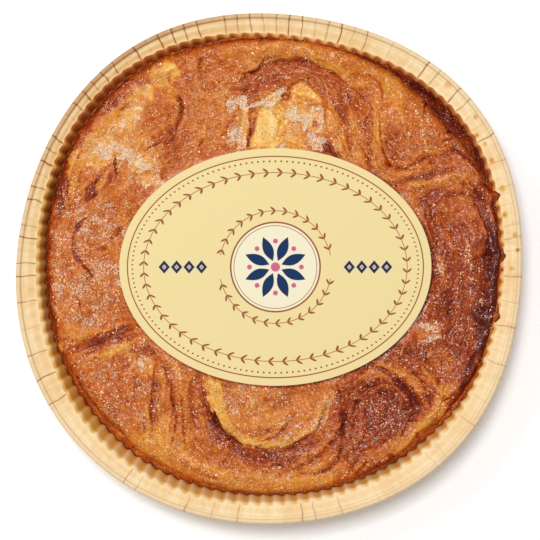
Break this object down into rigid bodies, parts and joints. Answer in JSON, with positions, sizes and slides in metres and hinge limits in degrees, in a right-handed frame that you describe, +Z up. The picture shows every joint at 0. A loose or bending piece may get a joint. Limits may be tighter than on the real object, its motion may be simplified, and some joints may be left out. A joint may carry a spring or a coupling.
{
  "type": "kouign amann",
  "caption": "Round flat caramelised butter cake with folded, flaky top, sitting in a fluted paper baking case with a rolled rim, an oval paper label lying on it.",
  "frame": {"origin": "on the surface that the case stands on, under the middle of the box round the rim", "axes": "+Z up through the cake, +X along the oval label's long axis, +Y along its short axis"},
  "size_m": [0.1868, 0.1884, 0.031],
  "materials": {
    "kraft_card": "matte",
    "caramelised_crust": "satin",
    "label_paper": "satin"
  },
  "bodies": {
    "root": {"baking_case": "kraft_card", "cake": "caramelised_crust", "label": "label_paper"}
  },
  "joints": []
}
